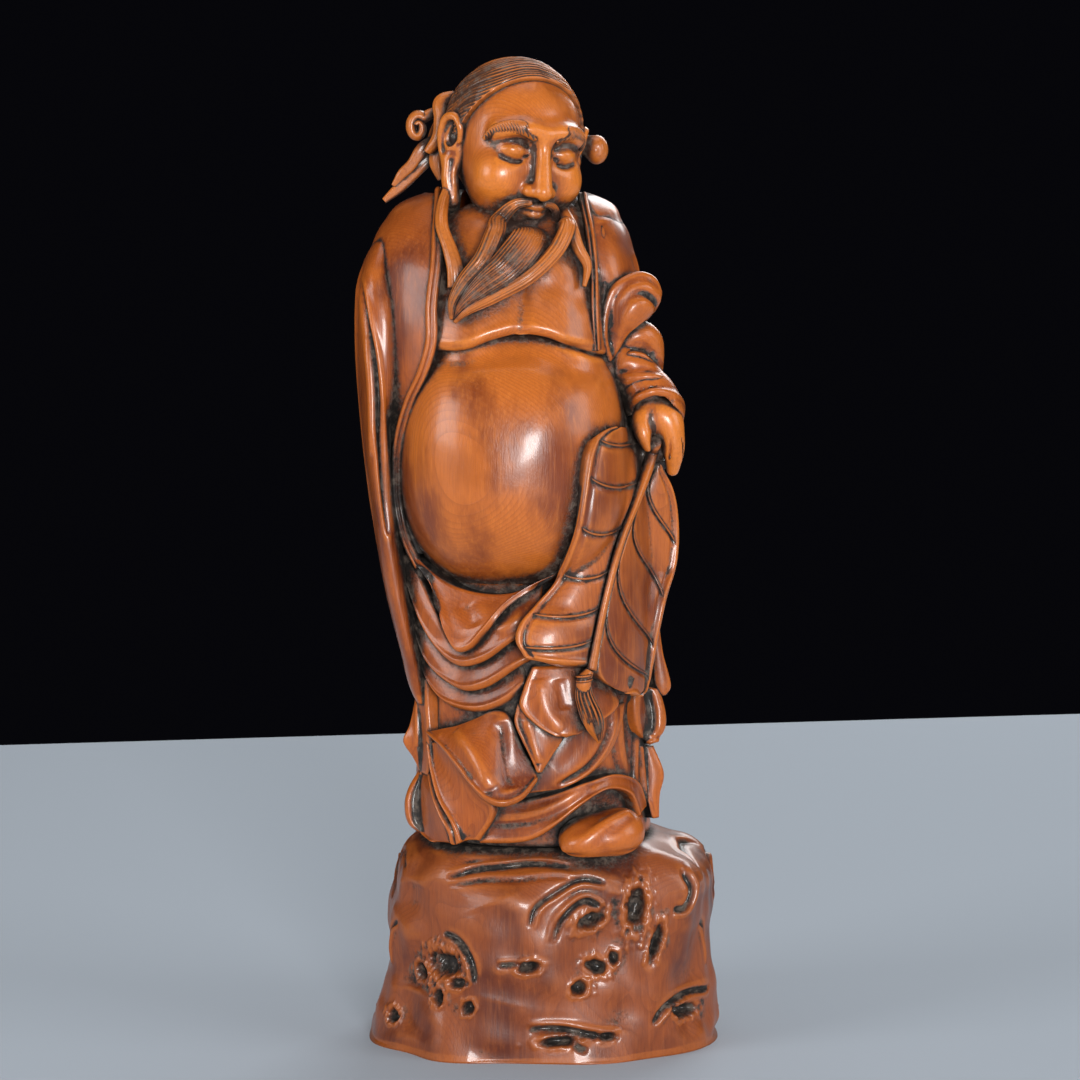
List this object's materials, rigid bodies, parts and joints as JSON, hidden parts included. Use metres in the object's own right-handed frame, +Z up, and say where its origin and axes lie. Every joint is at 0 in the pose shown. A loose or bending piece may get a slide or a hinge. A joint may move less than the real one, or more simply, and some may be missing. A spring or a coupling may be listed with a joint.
{
  "type": "carved wooden figurine",
  "caption": "Standing carved wood figure of a pot-bellied elder in an open coat holding a leaf fan, on a rough rock base, for display on a shelf or desk.",
  "frame": {"origin": "centre of the flat underside of the rock base", "axes": "+Z up, the figure's front towards -Y, +X towards the viewer's right when it is seen from the front"},
  "size_m": [0.0751, 0.0602, 0.2037],
  "materials": {
    "skin": "stained boxwood, waxed and polished smooth, satin gloss",
    "cloth": "stained boxwood, waxed, dark patina in the folds and worn paler on the edges",
    "hair": "stained boxwood cut in fine parallel lines, dry satin",
    "leaf": "stained boxwood, waxed, veins cut in fine lines",
    "stone": "stained boxwood, darker, waxed, with rough pits full of dark patina"
  },
  "bodies": {
    "root": {"rock_base": "stone", "head": "skin", "chest": "skin", "belly": "skin", "left_hand": "skin", "neck": "skin", "left_cuff": "cloth", "left_forearm": "cloth", "left_upper_sleeve": "cloth", "right_sleeve": "cloth", "skirt": "cloth", "coat": "cloth", "fan_rib": "leaf", "fan_tassel": "leaf", "fan_inner_blade": "leaf", "fan_outer_blade": "leaf", "right_moustache": "hair", "left_moustache": "hair", "beard": "hair", "right_brow": "hair", "left_brow": "hair", "right_ear": "skin", "left_ear": "skin", "hair_cap": "hair", "right_hair_knot": "hair", "right_hair_scroll": "hair", "hair_ribbon": "hair", "left_hair_knot": "hair", "right_sidelock": "hair", "left_sidelock": "hair", "sleeve_roll_upper": "cloth", "sleeve_roll_lower": "cloth", "right_lapel": "cloth", "left_lapel": "cloth", "swag_top": "cloth", "swag_second": "cloth", "swag_third": "cloth", "swag_fourth": "cloth", "middle_fold_upper": "cloth", "middle_fold_lower": "cloth", "front_flare": "cloth", "front_panel": "cloth", "side_flare": "cloth", "hem_roll": "cloth", "coat_front_hem": "cloth", "under_robe_hem": "cloth", "left_shoe": "skin", "left_hem_back": "cloth", "left_hem_upper": "cloth", "left_hem_lower": "cloth"}
  },
  "joints": []
}
